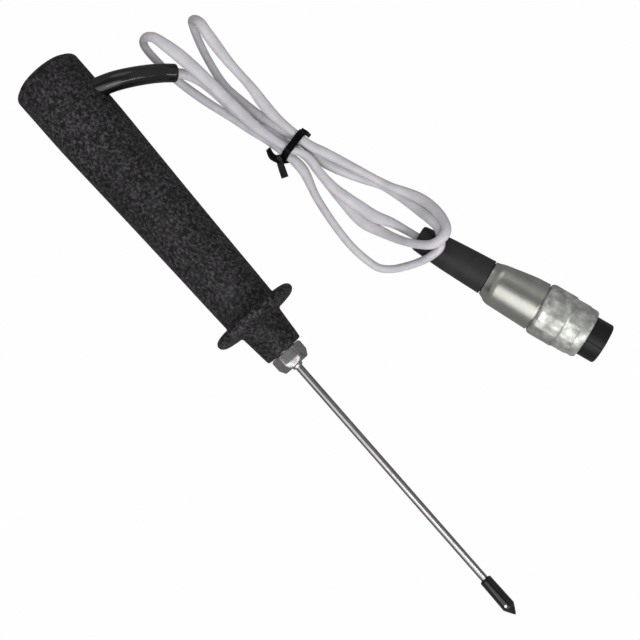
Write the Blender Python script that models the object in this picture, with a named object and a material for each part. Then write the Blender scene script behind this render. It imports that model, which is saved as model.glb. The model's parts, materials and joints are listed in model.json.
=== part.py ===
"""Hand-held insertion probe of a grain moisture meter, with its cable and round screw connector.

Metres, +Z up. The probe lies on a flat surface with its rod along +X, resting on the rim of its
finger guard and on the rim of its rear end, so its axis climbs a little towards the tip. The cable
and the connector lie beside it, on the +Y side. The origin is under the middle of the probe.
"""

import math

import bmesh
import bpy
import numpy as np
from mathutils import Matrix, Vector

GAP = 0.0003  # clearance between neighbouring solids
ROUND = 48  # sides of a large turned piece
FINE = 24  # sides of a small turned piece

# The probe, along its own axis: 0 at the front face of the nose, + towards the tip.
HANDLE_LENGTH = 0.1199  # nose face to the crown of the rear end
REAR_R = 0.01215
GUARD_BACK_R = 0.0096  # handle radius where the guard begins
GUARD_R = 0.0155
GUARD_X = -0.0146  # the widest part of the guard's rim
REAR_CORNER_X = -0.1166  # the widest part of the rear end, which rests on the surface
REAR_CORNER_R = 0.0019
NOSE_R = 0.0068
NOSE_BORE_R = 0.0046
WALL = 0.0023
ROD_R = 0.00125
ROD_BORE_R = 0.00095
CAP_BACK_X = 0.0976
TIP_X = 0.1123
NUT_LENGTH = 0.0058
NUT_FLATS = 0.0103  # across flats
NUT_FRONT_R = 0.0046
SETTLE = 0.00001  # how far the resting rims stand above the surface
TILT = math.atan((GUARD_R - REAR_R) / (GUARD_X - REAR_CORNER_X))
PROBE_LIFT = GUARD_R * math.cos(TILT) - GUARD_X * math.sin(TILT) + SETTLE

# The connector, along its own axis: 0 at the rear end of its boot, + towards the mating face.
BOOT_BACK_R = 0.00435
BOOT_FRONT_R = 0.00605
SHELL_BACK_X = 0.0266
SHELL_FRONT_X = 0.0455
RING_BACK_X = 0.0459
RING_R = 0.0092
RING_FRONT_X = 0.0636
FACE_X = 0.0700
INSERT_R = 0.00695
CONNECTOR_AT = (0.0048, 0.0575)  # where the boot's rear end lies
CONNECTOR_TURN = math.radians(18.2)  # its heading, from +X towards +Y
BOOT_EDGE = 0.0006  # the rounding of the boot's rear rim
RING_CHAMFER = 0.0011
RING_EDGE_X = RING_BACK_X + RING_CHAMFER
SHELL_EDGE_X = 0.0304  # the sharp edge round the back shell, which rests on the surface with the ring
SHELL_EDGE_R = 0.0078
FLAT_BACK_X = 0.0275  # the rear end of the slanted flat on the back shell
FLAT_BACK_REACH = 0.0058  # how far the flat is from the axis there
FLAT_SLOPE = math.radians(9.9)
CONNECTOR_TILT = math.atan((RING_R - SHELL_EDGE_R) / (RING_EDGE_X - SHELL_EDGE_X))
CONNECTOR_LIFT = RING_R * math.cos(CONNECTOR_TILT) - RING_EDGE_X * math.sin(CONNECTOR_TILT) + SETTLE
CONTACTS = 5
CONTACT_CIRCLE_R = 0.0035

# The cable and the sleeve that it leaves the handle through.
CABLE_R = 0.00135
CABLE_POINTS = 84
SLEEVE_BORE_R = CABLE_R + 0.00045
SLEEVE_BACK_R = 0.0034
SLEEVE_FRONT_R = 0.00305

# The sleeve's middle line, from inside the handle to its free end.
SLEEVE_ROUTE = [
    (-0.1017, 0.0050, 0.0152), (-0.1006, 0.0080, 0.0159), (-0.0995, 0.0109, 0.0164),
    (-0.0978, 0.0155, 0.0166), (-0.0958, 0.0201, 0.0153), (-0.0929, 0.0261, 0.0120),
    (-0.0906, 0.0301, 0.0092), (-0.0883, 0.0332, 0.0075),
]
# From the sleeve to the tie, on the surface.
FIRST_RUN = [
    (-0.0861, 0.0353, 0.0058), (-0.0832, 0.0369, 0.0039), (-0.0796, 0.0380, 0.0022),
    (-0.0744, 0.0387, 0.0016), (-0.0621, 0.0403, 0.0016), (-0.0552, 0.0437, 0.0022),
    (-0.0474, 0.0456, 0.0025),
]
# Past the tie, over the boot in the outer bend, and back to the tie on top.
OUTER_BOW = [
    (-0.0396, 0.0475, 0.0022), (-0.0330, 0.0472, 0.0017), (-0.0195, 0.0469, 0.0015),
    (-0.0110, 0.0474, 0.0019), (-0.0040, 0.0500, 0.0036), (0.0012, 0.0521, 0.0076),
    (0.0063, 0.0551, 0.0125), (0.0095, 0.0585, 0.0152), (0.0101, 0.0618, 0.0162),
    (0.0092, 0.0647, 0.0154), (0.0059, 0.0666, 0.0130), (0.0015, 0.0672, 0.0100),
    (-0.0039, 0.0665, 0.0070), (-0.0088, 0.0644, 0.0056), (-0.0139, 0.0617, 0.0049),
    (-0.0268, 0.0568, 0.0043), (-0.0372, 0.0526, 0.0049), (-0.0414, 0.0508, 0.0053),
    (-0.0484, 0.0494, 0.0053),
]
# The narrow loop that points away from the handle.
FAR_LOOP = [
    (-0.0564, 0.0483, 0.0053), (-0.0620, 0.0482, 0.0055), (-0.0689, 0.0487, 0.0062),
    (-0.0803, 0.0485, 0.0082), (-0.0913, 0.0492, 0.0110), (-0.0944, 0.0496, 0.0116),
    (-0.0970, 0.0493, 0.0092), (-0.0983, 0.0485, 0.0052), (-0.0968, 0.0476, 0.0026),
    (-0.0933, 0.0463, 0.0016), (-0.0873, 0.0446, 0.0015), (-0.0760, 0.0427, 0.0015),
    (-0.0699, 0.0431, 0.0015), (-0.0629, 0.0442, 0.0016), (-0.0566, 0.0459, 0.0022),
    (-0.0481, 0.0485, 0.0025),
]
# Past the tie again, over the boot inside the first bend, and round the wide bow on the surface.
INNER_BOW = [
    (-0.0404, 0.0505, 0.0022), (-0.0355, 0.0507, 0.0016), (-0.0312, 0.0523, 0.0015),
    (-0.0216, 0.0571, 0.0015), (-0.0165, 0.0601, 0.0016), (-0.0117, 0.0617, 0.0023),
    (-0.0071, 0.0628, 0.0037), (-0.0012, 0.0637, 0.0068), (0.0027, 0.0640, 0.0099),
    (0.0065, 0.0639, 0.0122), (0.0096, 0.0623, 0.0130), (0.0120, 0.0600, 0.0130),
    (0.0122, 0.0564, 0.0119), (0.0112, 0.0523, 0.0082), (0.0093, 0.0480, 0.0044),
    (0.0069, 0.0441, 0.0020), (0.0038, 0.0413, 0.0015), (-0.0014, 0.0399, 0.0015),
    (-0.0094, 0.0392, 0.0015), (-0.0265, 0.0410, 0.0015), (-0.0382, 0.0439, 0.0020),
    (-0.0467, 0.0427, 0.0025),
]
# The loop that passes under the sleeve and comes back to the tie on top.
NEAR_LOOP = [
    (-0.0536, 0.0411, 0.0018), (-0.0587, 0.0395, 0.0015), (-0.0651, 0.0378, 0.0015),
    (-0.0787, 0.0339, 0.0015), (-0.0902, 0.0316, 0.0015), (-0.0963, 0.0312, 0.0015),
    (-0.1012, 0.0311, 0.0020), (-0.1032, 0.0314, 0.0040), (-0.1037, 0.0323, 0.0072),
    (-0.1028, 0.0337, 0.0106), (-0.1007, 0.0351, 0.0124), (-0.0968, 0.0362, 0.0124),
    (-0.0920, 0.0373, 0.0116), (-0.0822, 0.0388, 0.0092), (-0.0710, 0.0399, 0.0070),
    (-0.0649, 0.0405, 0.0062), (-0.0590, 0.0410, 0.0057), (-0.0546, 0.0420, 0.0053),
    (-0.0470, 0.0441, 0.0053),
]
# From the tie to the rear end of the boot.
LAST_RUN = [
    (-0.0397, 0.0476, 0.0053), (-0.0321, 0.0472, 0.0049), (-0.0257, 0.0474, 0.0046),
    (-0.0203, 0.0488, 0.0034), (-0.0149, 0.0507, 0.0026), (-0.0096, 0.0522, 0.0032),
    (-0.0042, 0.0544, 0.0042),
]
CABLE_END_X = 0.0300  # along the connector, inside its back shell

TIE_AT = (-0.0456, 0.0468)
TIE_TURN = math.radians(11.5)
TIE_WIDTH = 0.0025
TIE_THICK = 0.0006
TAIL_WIDTH = 0.0022
TAIL_FROM = (-0.0457, 0.0400, 0.0021)  # the tie's loose end, from the band outwards
TAIL_TO = (-0.0396, 0.0376, 0.0010)
# The four outer strands inside the tie: how far across the bundle and how high each one is.
TIED_STRANDS = [(-0.0038, 0.0025), (0.0024, 0.0025), (0.0033, 0.0053), (-0.0024, 0.0053)]


def clear_scene():
    for obj in list(bpy.data.objects):
        bpy.data.objects.remove(obj, do_unlink=True)


def make_material(name, colour, roughness, metallic=0.0):
    material = bpy.data.materials.new(name)
    material.use_nodes = True
    shader = material.node_tree.nodes["Principled BSDF"]
    shader.inputs["Base Color"].default_value = (*colour, 1.0)
    shader.inputs["Roughness"].default_value = roughness
    shader.inputs["Metallic"].default_value = metallic
    material.diffuse_color = (*colour, 1.0)
    return material


clear_scene()
GRAINED_PLASTIC = make_material("grained_plastic", (0.018, 0.018, 0.02), 0.55)
BLACK_RUBBER = make_material("black_rubber", (0.012, 0.012, 0.014), 0.4)
GLOSS_PLASTIC = make_material("gloss_plastic", (0.01, 0.01, 0.01), 0.25)
SILICONE = make_material("silicone", (0.62, 0.62, 0.64), 0.45)
NICKEL = make_material("nickel", (0.66, 0.66, 0.6), 0.3, 1.0)
STEEL = make_material("steel", (0.6, 0.6, 0.6), 0.2, 1.0)
BRASS = make_material("brass", (0.7, 0.55, 0.25), 0.3, 1.0)
CERAMIC = make_material("ceramic", (0.8, 0.78, 0.7), 0.5)
RED_WIRE = make_material("red_wire", (0.6, 0.03, 0.02), 0.5)
BLUE_WIRE = make_material("blue_wire", (0.03, 0.08, 0.5), 0.5)


def make_frame(name, at, turn, tilt):
    """An empty whose X axis heads along turn and climbs by tilt."""
    frame = bpy.data.objects.new(name, None)
    frame.matrix_world = (
        Matrix.Translation(at) @ Matrix.Rotation(turn, 4, "Z") @ Matrix.Rotation(-tilt, 4, "Y")
    )
    bpy.context.scene.collection.objects.link(frame)
    return frame


PROBE_MIDDLE = (HANDLE_LENGTH - TIP_X) / 2 * math.cos(TILT)
PROBE = make_frame("probe_frame", (PROBE_MIDDLE, 0, PROBE_LIFT), 0, TILT)
CONNECTOR = make_frame(
    "connector_frame", (*CONNECTOR_AT, CONNECTOR_LIFT), CONNECTOR_TURN, CONNECTOR_TILT
)


def add_object(name, data, material, parent=None):
    obj = bpy.data.objects.new(name, data)
    obj.data.materials.append(material)
    obj.parent = parent
    bpy.context.scene.collection.objects.link(obj)
    return obj


def finish_mesh(bm, name, material, parent, smooth=True):
    bmesh.ops.recalc_face_normals(bm, faces=bm.faces)
    mesh = bpy.data.meshes.new(name)
    bm.to_mesh(mesh)
    bm.free()
    if smooth:
        mesh.shade_smooth()
        mesh.set_sharp_from_angle(angle=math.radians(35))
    return add_object(name, mesh, material, parent)


def turned(name, outline, material, parent, sides=FINE, radius_at=None):
    """A closed outline of (x, r) points turned about the X axis. radius_at reshapes the section."""
    bm = bmesh.new()
    rings = []
    for x, r in outline:
        if r == 0:
            rings.append([bm.verts.new((x, 0, 0))])
            continue
        ring = []
        for step in range(sides):
            angle = 2 * math.pi * step / sides
            reach = radius_at(x, r, angle) if radius_at else r
            ring.append(bm.verts.new((x, reach * math.cos(angle), reach * math.sin(angle))))
        rings.append(ring)
    for first, second in zip(rings, rings[1:] + rings[:1]):
        for k in range(sides):
            corners = [
                first[k % len(first)],
                first[(k + 1) % len(first)],
                second[(k + 1) % len(second)],
                second[k % len(second)],
            ]
            corners = list(dict.fromkeys(corners))
            if len(corners) > 2:
                bm.faces.new(corners)
    return finish_mesh(bm, name, material, parent)


def arc(centre, radius, start, end, steps=5):
    """Points of a circular arc in the (x, r) plane; angles in degrees, 0 towards +x."""
    cx, cr = centre
    angles = np.radians(np.linspace(start, end, steps + 1))
    return [(cx + radius * math.cos(a), cr + radius * math.sin(a)) for a in angles]


def smooth_line(route, steps=8):
    """A centripetal Catmull-Rom curve through the route's points, as closely spaced points."""
    points = [Vector(p) for p in route]
    points = [2 * points[0] - points[1], *points, 2 * points[-1] - points[-2]]
    line = []
    for a, b, c, d in zip(points, points[1:], points[2:], points[3:]):
        t1 = math.sqrt((b - a).length)
        t2 = t1 + math.sqrt((c - b).length)
        t3 = t2 + math.sqrt((d - c).length)
        for k in range(steps):
            t = t1 + (t2 - t1) * k / steps
            ab = a.lerp(b, t / t1)
            bc = b.lerp(c, (t - t1) / (t2 - t1))
            cd = c.lerp(d, (t - t2) / (t3 - t2))
            abc = ab.lerp(bc, t / t2)
            bcd = bc.lerp(cd, (t - t1) / (t3 - t1))
            line.append(abc.lerp(bcd, (t - t1) / (t2 - t1)))
    return [*line, points[-2]]


def spread(line, count, bend=0.0):
    """count points along the line, evenly spaced, or closer where it turns if bend is over 0.

    bend is the length that a turn of one radian counts as.
    """
    points = np.array([tuple(p) for p in line])
    steps = np.diff(points, axis=0)
    lengths = np.linalg.norm(steps, axis=1)
    heads = steps / lengths[:, None]
    turns = np.arccos(np.clip((heads[1:] * heads[:-1]).sum(axis=1), -1, 1))
    turns = (np.append(turns, 0) + np.insert(turns, 0, 0)) / 2
    along = np.concatenate([[0], np.cumsum(lengths + bend * turns)])
    at = np.linspace(0, along[-1], count)
    return [Vector([np.interp(s, along, points[:, k]) for k in range(3)]) for s in at]


def tube(name, points, radius, material, parent=None, resolution=2):
    """A round rod or wire along the points, with flat ends."""
    curve = bpy.data.curves.new(name, "CURVE")
    curve.dimensions = "3D"
    spline = curve.splines.new("POLY")
    spline.points.add(len(points) - 1)
    for target, point in zip(spline.points, points):
        target.co = (*point, 1)
    curve.bevel_depth = radius
    curve.bevel_resolution = resolution
    curve.use_fill_caps = True
    return add_object(name, curve, material, parent)


def sections_along(points):
    """(point, side, up) for each point: two unit vectors square to the line, turning with it."""
    points = [Vector(p) for p in points]
    up = Vector((0, 0, 1))
    placed = []
    for k, point in enumerate(points):
        ahead = (points[min(k + 1, len(points) - 1)] - points[max(k - 1, 0)]).normalized()
        side = ahead.cross(up).normalized()
        up = side.cross(ahead)
        placed.append((point, side, up))
    return placed


def hollow_sweep(name, points, outer, bore, material, sides=16):
    """A hose along the points. outer gives the outside radius at each of them."""
    bm = bmesh.new()
    loops = []
    placed = sections_along(points)
    order = [(p, outer[k]) for k, p in enumerate(placed)]
    order += [(p, bore) for p in reversed(placed)]
    for (point, side, up), reach in order:
        angles = [2 * math.pi * k / sides for k in range(sides)]
        loops.append(
            [bm.verts.new(point + reach * (math.cos(a) * side + math.sin(a) * up)) for a in angles]
        )
    for first, second in zip(loops, loops[1:] + loops[:1]):
        for k in range(sides):
            j = (k + 1) % sides
            bm.faces.new((first[k], first[j], second[j], second[k]))
    return finish_mesh(bm, name, material, None)


def add_cutter(name, data_builder):
    """A hidden helper that a Boolean takes away."""
    cutter = data_builder(name)
    cutter.hide_render = True
    cutter.display_type = "WIRE"
    return cutter


def cut(obj, cutter):
    boolean = obj.modifiers.new(cutter.name, "BOOLEAN")
    boolean.operation = "DIFFERENCE"
    boolean.object = cutter


def to_world(frame, point):
    return frame.matrix_world @ Vector(point)


def hexagon(across_flats, turn=0.0):
    """A radius_at that squares a turned piece off to six flats wherever it is large enough."""

    def radius_at(_x, r, angle):
        off_flat = (angle + turn + math.pi / 6) % (math.pi / 3) - math.pi / 6
        return min(r, across_flats / 2 / math.cos(off_flat))

    return radius_at


def handle_outline():
    """The outside of the handle, from the rear opening forwards to the nose face."""
    corner = arc((REAR_CORNER_X, REAR_R - REAR_CORNER_R), REAR_CORNER_R, 172, 90, 4)
    body = [(-0.0960, 0.01205), (-0.0780, 0.01145), (-0.0620, 0.0109), (-0.0440, 0.01035)]
    guard = [
        (-0.0169, GUARD_BACK_R), (-0.0166, 0.0102), (-0.0162, 0.0140), (-0.0156, 0.0151),
        (GUARD_X, GUARD_R), (-0.0134, 0.0151), (-0.0126, 0.0140), (-0.0120, 0.0110),
        (-0.0117, 0.0082), (-0.0113, 0.0076),
    ]
    nose = [(-0.0040, 0.0071), *arc((-0.0006, NOSE_R - 0.0006), 0.0006, 80, 0, 3)]
    return corner + body + guard + nose


def build_handle():
    outside = handle_outline()
    opening = (-0.1191, REAR_R - WALL)
    inside = [
        (0, NOSE_BORE_R), (-0.0134, NOSE_BORE_R), (-0.0134, 0.0073),
        (-0.0440, 0.0079), (-0.0960, 0.0097), (-0.1145, REAR_R - WALL),
    ]
    handle = turned("handle_shell", [opening] + outside + inside, GRAINED_PLASTIC, PROBE, ROUND)
    hole_from = Vector(SLEEVE_ROUTE[0])
    hole_to = hole_from + (Vector(SLEEVE_ROUTE[2]) - hole_from) * 1.6

    def cable_hole(name):
        return hole_cylinder(name, hole_from, hole_to, SLEEVE_BACK_R + GAP)

    cut(handle, add_cutter("cable_hole_cutter", cable_hole))
    plug_r = REAR_R - WALL - GAP
    cap = [
        (-HANDLE_LENGTH, 0), (-0.11985, 0.0030), (-0.1197, 0.0055), (-0.1194, 0.0080),
        (-0.1191, plug_r), (-0.1148, plug_r), (-0.1148, plug_r - 0.0015),
        (-0.1178, plug_r - 0.0015), (-0.1182, 0),
    ]
    turned("rear_cap", cap, GRAINED_PLASTIC, PROBE, ROUND)


def hole_cylinder(name, start, end, radius):
    """A solid cylinder from start to end, in world space."""
    along = end - start
    bm = bmesh.new()
    bmesh.ops.create_cone(
        bm, cap_ends=True, segments=FINE, radius1=radius, radius2=radius, depth=along.length
    )
    place = Matrix.Translation((start + end) / 2) @ along.to_track_quat("Z", "Y").to_matrix().to_4x4()
    bmesh.ops.transform(bm, matrix=place, verts=bm.verts)
    return finish_mesh(bm, name, STEEL, None)


def build_nose_fitting():
    """The metal bush in the nose, the nut behind it, and the collet and its nut in front."""
    bush_r, stub_r, seat_r = NOSE_BORE_R - GAP, 0.0036, 0.0027
    rod_clear = ROD_R + GAP
    bush = [
        (-0.0210, rod_clear), (-0.0210, bush_r), (-0.0003, bush_r), (-0.0003, stub_r),
        (0.0036, stub_r), (0.0036, seat_r), (-0.0010, seat_r), (-0.0010, rod_clear),
    ]
    turned("nose_bush", bush, BRASS, PROBE)
    locknut_bore = bush_r + GAP
    locknut = [
        (-0.0163, locknut_bore), (-0.0163, 0.0066), (-0.0137, 0.0066), (-0.0137, locknut_bore),
    ]
    turned("bush_locknut", locknut, BRASS, PROBE, 36, hexagon(0.0118))
    nut_r = NUT_FLATS / 2 / math.cos(math.pi / 6)
    nut_back, nut_front = 0.0003, 0.0003 + NUT_LENGTH
    nut = [
        (nut_back, stub_r + GAP), (nut_back, nut_r - 0.0004), (nut_back + 0.0003, nut_r),
        (nut_back + 0.0038, nut_r), (nut_front, NUT_FRONT_R), (nut_front, 0.0022),
        (nut_front - 0.0018, 0.0022), (nut_front - 0.0018, stub_r + GAP),
    ]
    turned("collet_nut", nut, STEEL, PROBE, 36, hexagon(NUT_FLATS, math.pi / 6))
    collet = [
        (-0.0007, rod_clear), (-0.0007, seat_r - GAP), (0.0039, seat_r - GAP),
        (0.0043, 0.0019), (nut_front + 0.0002, 0.0019), (nut_front + 0.0009, 0.00165),
        (nut_front + 0.0009, rod_clear),
    ]
    split = turned("split_collet", collet, BRASS, PROBE)

    def slot(name):
        bm = bmesh.new()
        bmesh.ops.create_cube(bm, size=1)
        size = Matrix.Diagonal((0.012, 0.0004, 0.004, 1))
        bmesh.ops.transform(bm, matrix=Matrix.Translation((0.003, 0, -0.002)) @ size, verts=bm.verts)
        return finish_mesh(bm, name, STEEL, PROBE, smooth=False)

    cut(split, add_cutter("collet_slot_cutter", slot))


def build_rod():
    """The hollow steel rod, what it holds, and the push-on cap on its point."""
    end = 0.1063
    rod = [
        (-0.0280, ROD_BORE_R), (-0.0280, ROD_R), (end - 0.0020, ROD_R), (end, 0.0003), (end, 0),
        (end - 0.0022, 0), (end - 0.0026, ROD_BORE_R),
    ]
    turned("probe_rod", rod, STEEL, PROBE, FINE)
    turned(
        "sensing_element",
        [(0.0980, 0), (0.0980, 0.0006), (0.1028, 0.0006), (0.1028, 0)],
        CERAMIC,
        PROBE,
        12,
    )
    bore = ROD_R + GAP
    cap = [
        (CAP_BACK_X, bore), (CAP_BACK_X, 0.0019), (CAP_BACK_X + 0.0003, 0.00203),
        (0.1087, 0.0022), (0.1090, 0.00215), (TIP_X - 0.0004, 0.0004), (TIP_X, 0),
        (end + 0.0003, 0), (end + 0.0003, bore),
    ]
    tip_cap = turned("tip_cap", cap, GLOSS_PLASTIC, PROBE, FINE)

    def vent(name):
        bottom, top = (0.1083, -0.00075, -0.004), (0.1083, -0.00075, 0.004)
        start, finish = to_world(PROBE, bottom), to_world(PROBE, top)
        return hole_cylinder(name, start, finish, 0.00055)

    cut(tip_cap, add_cutter("vent_hole_cutter", vent))


def build_handle_wiring(cable_start):
    """Two leads from the sensing element, each joined in the handle to a core of the cable."""
    away = (cable_start - Vector(SLEEVE_ROUTE[1])).normalized()
    for number, (side, material) in enumerate(((1, RED_WIRE), (-1, BLUE_WIRE)), 1):
        inner, outer = side * 0.00045, side * 0.0016
        lead = [(0.0977, inner, 0), (-0.0285, inner, 0), (-0.0320, outer, 0), (-0.0350, outer, 0)]
        tube(f"sensor_lead_{number}", [to_world(PROBE, p) for p in lead], 0.00015, material)
        splice = [to_world(PROBE, (x, outer, 0)) for x in (-0.0353, -0.0423)]
        tube(f"splice_{number}", splice, 0.0009, BRASS)
        apart = Vector((0.0006 * side, 0, 0))
        core = [cable_start + away * 0.0006 + apart, cable_start + away * 0.0016 + apart] + [
            to_world(PROBE, p)
            for p in (
                (-0.0980, side * 0.0012 - 0.0020, -0.0010), (-0.0800, side * 0.0030, 0),
                (-0.0600, side * 0.0032, 0), (-0.0500, side * 0.0018, 0), (-0.0426, outer, 0),
            )
        ]
        tube(f"handle_core_{number}", spread(smooth_line(core), 20, 0.004), 0.0003, material)


def build_sleeve():
    line = spread(smooth_line(SLEEVE_ROUTE), 15)
    ends = (line[0], line[-1])
    first = ends[0] - (line[1] - line[0]).normalized() * 0.0012
    stations = [first, *line]
    widths = [0.0046, 0.0046]
    for k in range(1, len(line)):
        share = k / (len(line) - 1)
        widths.append(SLEEVE_BACK_R + (SLEEVE_FRONT_R - SLEEVE_BACK_R) * share)
    step = (line[1] - line[0]) * 0.02
    stations.insert(2, line[0] + step)
    widths.insert(2, SLEEVE_BACK_R)
    rounded = stations[-1] - stations[-2]
    stations.insert(-1, stations[-1] - rounded * 0.15)
    widths.insert(-1, widths[-1])
    widths[-1] -= 0.0004
    hollow_sweep("cable_sleeve", stations, widths, SLEEVE_BORE_R, BLACK_RUBBER)


def build_cable():
    """The whole cable, from inside the handle to inside the connector."""
    inside = Vector(SLEEVE_ROUTE[0]) + (Vector(SLEEVE_ROUTE[0]) - Vector(SLEEVE_ROUTE[1])) * 1.2
    entry = [to_world(CONNECTOR, (x, 0, 0)) for x in (-0.0002, 0.0080, 0.0180, CABLE_END_X)]
    route = [
        inside, *SLEEVE_ROUTE, *FIRST_RUN, *OUTER_BOW, *FAR_LOOP, *INNER_BOW, *NEAR_LOOP,
        *LAST_RUN, *entry,
    ]
    line = smooth_line(route)
    tube("cable", spread(line, CABLE_POINTS, 0.015), CABLE_R, SILICONE)
    return inside


def build_cable_retainer(cable_start):
    """A ferrule round the cable inside the handle, which keeps it from being pulled out."""
    away = (cable_start - Vector(SLEEVE_ROUTE[1])).normalized()
    start = Vector(SLEEVE_ROUTE[0]) + away * 0.0016
    ring = [start, start + away * 0.0008, start + away * 0.0016]
    hollow_sweep("cable_retainer", ring, [0.0026] * 3, CABLE_R + GAP, BRASS)


def tie_ring():
    """Points round the bundle, seen along it: its outer strands wrapped by a band with clearance."""
    reach = CABLE_R + 0.00045 + TIE_THICK / 2
    ring = []
    for (across, high), start in zip(TIED_STRANDS, (180, 270, 0, 90)):
        for angle in np.radians(np.linspace(start, start + 90, 4)):
            ring.append((across + reach * math.cos(angle), high + reach * math.sin(angle)))
    return ring


def build_tie():
    """A flat band wound once round the five strands, with one end left hanging."""
    turn = Matrix.Translation((*TIE_AT, 0)) @ Matrix.Rotation(TIE_TURN, 4, "Z")
    bm = bmesh.new()
    ring = [Vector((0, across, high)) for across, high in tie_ring()]
    centre = sum(ring, Vector()) / len(ring)
    loops = []
    for point in ring:
        out = (point - centre).normalized() * TIE_THICK / 2
        loops.append(
            [
                bm.verts.new(turn @ (point + out * deep + Vector((TIE_WIDTH / 2 * wide, 0, 0))))
                for deep, wide in ((1, 1), (1, -1), (-1, -1), (-1, 1))
            ]
        )
    for first, second in zip(loops, loops[1:] + loops[:1]):
        for k in range(4):
            j = (k + 1) % 4
            bm.faces.new((first[k], first[j], second[j], second[k]))
    band = finish_mesh(bm, "cable_tie", GLOSS_PLASTIC, None)

    def tail(name):
        start, end = Vector(TAIL_FROM), Vector(TAIL_TO)
        place = Matrix.Translation((start + end) / 2)
        place @= (end - start).to_track_quat("X", "Z").to_matrix().to_4x4()
        size = Matrix.Diagonal(((end - start).length, TAIL_WIDTH, TIE_THICK, 1))
        bm = bmesh.new()
        bmesh.ops.create_cube(bm, size=1)
        bmesh.ops.transform(bm, matrix=place @ size, verts=bm.verts)
        return finish_mesh(bm, name, GLOSS_PLASTIC, None, smooth=False)

    union = band.modifiers.new("tail", "BOOLEAN")
    union.operation = "UNION"
    union.object = add_cutter("tie_tail_shape", tail)


def shell_radius(x, r, angle):
    """One long slanted flat along the +Y side of the back shell."""
    reach = FLAT_BACK_REACH + max(x - FLAT_BACK_X, 0) * math.tan(FLAT_SLOPE)
    return min(r, reach / max(math.cos(angle), 0.1))


def build_connector_body():
    """The boot, the metal back shell in front of it and the clamp inside that holds the cable."""
    collar_r, collar_front = 0.0052, 0.0295
    boot = [
        (0, SLEEVE_BORE_R), (0, BOOT_BACK_R - BOOT_EDGE), (BOOT_EDGE, BOOT_BACK_R),
        (0.0090, 0.0052), (SHELL_BACK_X - GAP, BOOT_FRONT_R), (SHELL_BACK_X - GAP, collar_r),
        (collar_front, collar_r), (collar_front, SLEEVE_BORE_R),
    ]
    turned("connector_boot", boot, BLACK_RUBBER, CONNECTOR)
    shoulder = [(0.0272, 0.0062), (0.0280, 0.0066), (0.0289, 0.0073)]
    front_r = 0.00845
    outer = [
        (x, SHELL_EDGE_R + (x - SHELL_EDGE_X) * 0.042)
        for x in np.linspace(SHELL_EDGE_X, SHELL_FRONT_X - 0.0006, 9)
    ]
    shell = [
        (SHELL_BACK_X, collar_r + GAP), (SHELL_BACK_X, 0.0059), *shoulder, *outer,
        (SHELL_FRONT_X, front_r), (SHELL_FRONT_X, 0.0079), (0.0397, 0.0079), (0.0397, 0.0072),
        (0.0375, 0.0072), (0.0310, 0.0056),
    ]
    turned("back_shell", shell, NICKEL, CONNECTOR, ROUND, shell_radius)
    clamp = [
        (0.0311, SLEEVE_BORE_R), (0.0311, 0.0050), (0.0350, 0.0064), (0.0350, SLEEVE_BORE_R)
    ]
    turned("cable_clamp", clamp, NICKEL, CONNECTOR)


def build_coupling():
    """The sleeve that carries the coupling ring, the snap ring that keeps it, and the ring."""
    sleeve = [(0.0402, 0.00725), (0.0402, 0.0076), (0.0570, 0.0076), (0.0570, 0.00725)]
    turned("inner_sleeve", sleeve, NICKEL, CONNECTOR, 36)
    snap = [(0.0573, 0.0073), (0.0573, 0.0080), (0.0581, 0.0080), (0.0581, 0.0073)]
    turned("snap_ring", snap, STEEL, CONNECTOR, 36)
    ring = [
        (RING_BACK_X, 0.0079), (RING_BACK_X, 0.0086), (RING_BACK_X + RING_CHAMFER, RING_R),
        (0.0552, RING_R), (0.0555, 0.00885), (0.0602, 0.0088), (0.0604, 0.0087),
        (0.0630, 0.0086), (RING_FRONT_X, 0.0081), (RING_FRONT_X, 0.0079),
        (0.0630, 0.0083), (0.0571, 0.0083), (0.0570, 0.0079),
    ]
    turned("coupling_ring", ring, NICKEL, CONNECTOR, ROUND)


def build_insert():
    """The black contact carrier with its ring of socket contacts."""
    back = 0.0420
    insert = [
        (back, 0), (back, INSERT_R), (FACE_X - 0.0006, INSERT_R), (FACE_X, INSERT_R - 0.0006),
        (FACE_X, 0),
    ]
    carrier = turned("contact_carrier", insert, GLOSS_PLASTIC, CONNECTOR, 36)
    for number in range(CONTACTS):
        angle = math.radians(90 + 45 * (number - 2))
        y, z = CONTACT_CIRCLE_R * math.cos(angle), CONTACT_CIRCLE_R * math.sin(angle)

        def hole(name, y=y, z=z):
            start = to_world(CONNECTOR, (back - 0.001, y, z))
            end = to_world(CONNECTOR, (FACE_X + 0.001, y, z))
            return hole_cylinder(name, start, end, 0.00115)

        cut(carrier, add_cutter(f"contact_hole_cutter_{number + 1}", hole))
        socket = [
            (0.0395, 0), (0.0395, 0.00085), (FACE_X - 0.0005, 0.00085), (FACE_X - 0.0005, 0.0005),
            (0.0600, 0.0005), (0.0600, 0),
        ]
        contact = turned(f"contact_{number + 1}", socket, BRASS, CONNECTOR, 16)
        contact.location = (0, y, z)
        if number in (0, CONTACTS - 1):
            side = 1 if number == 0 else -1
            core = [
                (CABLE_END_X + GAP, side * 0.0006, 0), (0.0350, side * 0.0009, 0),
                (0.0375, y * 0.8, z * 0.8), (0.0392, y, z),
            ]
            points = [to_world(CONNECTOR, p) for p in core]
            wire = RED_WIRE if side > 0 else BLUE_WIRE
            label = 1 if side > 0 else 2
            tube(f"connector_core_{label}", spread(smooth_line(points), 8), 0.0003, wire)


def build():
    build_handle()
    build_nose_fitting()
    build_rod()
    build_sleeve()
    cable_start = build_cable()
    build_cable_retainer(cable_start)
    build_handle_wiring(cable_start)
    build_tie()
    build_connector_body()
    build_coupling()
    build_insert()


build()
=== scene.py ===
"""The looks of a hand-held insertion probe with its cable and round screw connector.

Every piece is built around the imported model: its axes come from the frame's joints and boxes.
Metres, +Z up. The probe's rod points along +X and the cable lies on the +Y side.
"""

import json
import math

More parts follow.
